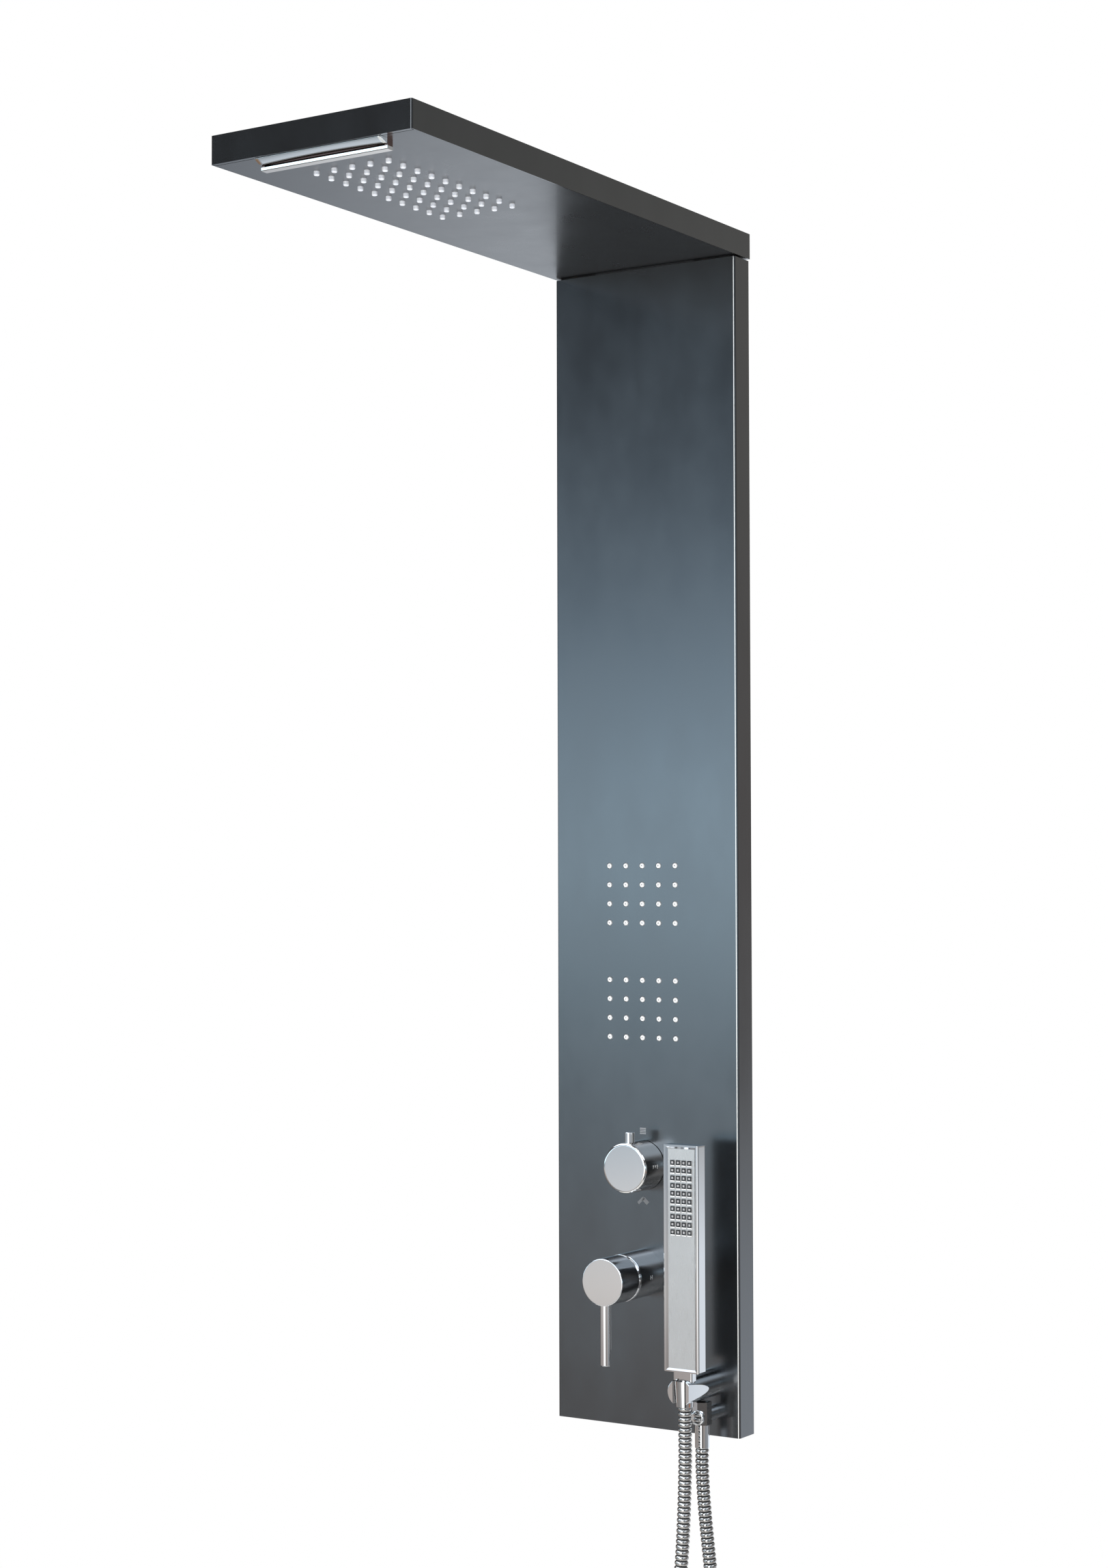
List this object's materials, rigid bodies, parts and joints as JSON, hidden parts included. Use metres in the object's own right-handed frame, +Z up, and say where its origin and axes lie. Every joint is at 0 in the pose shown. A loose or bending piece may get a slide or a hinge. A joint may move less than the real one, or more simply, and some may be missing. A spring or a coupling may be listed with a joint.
{
  "type": "shower panel column",
  "caption": "Wall-hung shower panel: a folded steel column with an overhead rain and waterfall head, body jets, diverter, lever mixer and a bar handset on a ribbed hose.",
  "frame": {"origin": "middle of the upper wall bracket's two screw holes, on the wall plane", "axes": "+Z up along the column, +Y into the wall, -Y out to the user, +X to the user's right"},
  "size_m": [0.2276, 0.602, 1.7244],
  "materials": {
    "panel_steel": "dark gunmetal coat on folded steel, semi-gloss",
    "plate_steel": "dark satin coat on flat steel",
    "black_steel": "black coat on thick folded steel",
    "seam_foam": "black closed-cell foam strip",
    "zinc_steel": "zinc-plated steel",
    "dark_screw": "blackened steel",
    "silicone_white": "soft white silicone",
    "silicone_grey": "soft grey silicone",
    "chamber_plastic": "moulded plastic",
    "chrome": "polished chrome plate",
    "satin_face": "pale grey satin plate",
    "brass": "machined brass",
    "cartridge_plastic": "engineering plastic",
    "braided_steel": "stainless braid",
    "pipe_plastic": "white water pipe",
    "hose_steel": "interlocked chromed steel ribs"
  },
  "bodies": {
    "column": {"column_cover": "panel_steel", "head_cover": "panel_steel", "head_underplate": "plate_steel", "head_bracket": "black_steel", "bracket_nuts": "zinc_steel", "seam_gaskets": "seam_foam", "rain_nozzles": "silicone_white", "rain_chamber": "chamber_plastic", "waterfall_spout": "chrome", "waterfall_chamber": "chamber_plastic", "upper_jet_nozzles": "silicone_white", "upper_jet_chamber": "chamber_plastic", "lower_jet_nozzles": "silicone_white", "lower_jet_chamber": "chamber_plastic", "upper_hook_rail": "zinc_steel", "lower_hook_rail": "zinc_steel", "upper_wall_bracket": "zinc_steel", "lower_wall_bracket": "zinc_steel", "mixer_valve_body": "brass", "mixer_panel_nut": "brass", "mixer_cartridge": "cartridge_plastic", "mixer_cap_nut": "brass", "mixer_sleeve": "chrome", "mixer_dome": "chrome", "supply_hoses": "braided_steel", "supply_nuts": "brass", "link_pipe": "brass", "diverter_body": "brass", "diverter_panel_nut": "brass", "diverter_cartridge": "cartridge_plastic", "jet_feed_pipe": "pipe_plastic", "jet_link_pipe": "pipe_plastic", "rain_riser": "pipe_plastic", "waterfall_riser": "pipe_plastic", "riser_elbows": "brass", "rain_head_pipe": "pipe_plastic", "waterfall_head_pipe": "pipe_plastic", "handset_feed_pipe": "pipe_plastic", "outlet_elbow": "chrome", "outlet_banjo": "brass", "outlet_lock_nut": "zinc_steel", "hose_ferrule": "chrome", "shower_hose": "hose_steel", "holder_arm": "chrome", "holder_screw": "zinc_steel"},
    "diverter_knob": {"diverter_knob": "chrome", "diverter_pin": "chrome", "diverter_grub_screw": "dark_screw", "diverter_stem": "brass"},
    "mixer_guide": {"mixer_rotor": "cartridge_plastic", "mixer_pivot_pin": "zinc_steel"},
    "mixer_handle": {"mixer_handle": "chrome", "mixer_lever": "chrome", "mixer_grub_screw": "dark_screw", "mixer_stem": "brass"},
    "handset": {"handset_shell": "chrome", "handset_face": "satin_face", "handset_nozzles": "silicone_grey", "handset_neck": "chrome", "hose_cone_nut": "chrome"}
  },
  "joints": [
    {"name": "diverter_turn", "type": "hinge", "parent": "column", "child": "diverter_knob", "pos_m": [-0.004, -0.05, -0.828], "axis": [0, 1, 0], "continuous": true},
    {"name": "mixer_turn", "type": "hinge", "parent": "column", "child": "mixer_guide", "pos_m": [-0.004, -0.06, -0.94], "axis": [0, 1, 0], "range_deg": [-45, 45]},
    {"name": "mixer_lift", "type": "hinge", "parent": "mixer_guide", "child": "mixer_handle", "pos_m": [-0.004, -0.06, -0.94], "axis": [-1, 0, 0], "range_deg": [0, 25]},
    {"name": "handset_lift", "type": "slide", "parent": "column", "child": "handset", "axis": [0, 0, 1], "range_m": [0, 0.05], "deforming": ["shower_hose"]}
  ]
}
